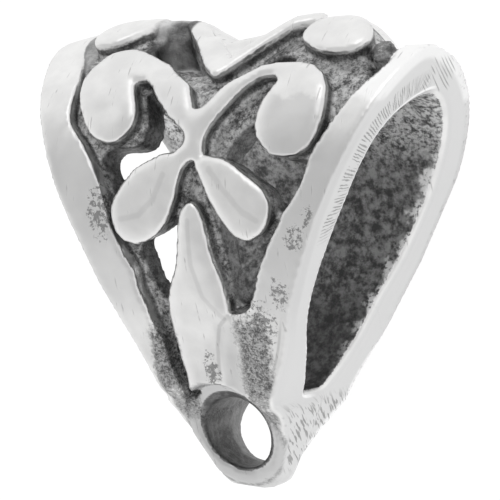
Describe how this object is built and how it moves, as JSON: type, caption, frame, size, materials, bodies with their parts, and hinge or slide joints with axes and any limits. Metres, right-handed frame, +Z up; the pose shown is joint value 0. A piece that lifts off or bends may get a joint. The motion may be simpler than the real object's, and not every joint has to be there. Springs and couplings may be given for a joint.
{
  "type": "pendant bail",
  "caption": "Heart-shaped pendant bail with a pierced scroll front, a tapering loop for a cord or chain, and a ringed eye at the tip.",
  "frame": {"origin": "middle of the underside of the box round the bail, which lies on the flat of its back", "axes": "+X across the band, the way a cord runs through the loop; +Y from the eye to the ridge; +Z up, out of the scroll front"},
  "size_m": [0.0136, 0.0152, 0.0086],
  "materials": {
    "silver": null
  },
  "bodies": {
    "root": {"bail": "silver"}
  },
  "joints": []
}
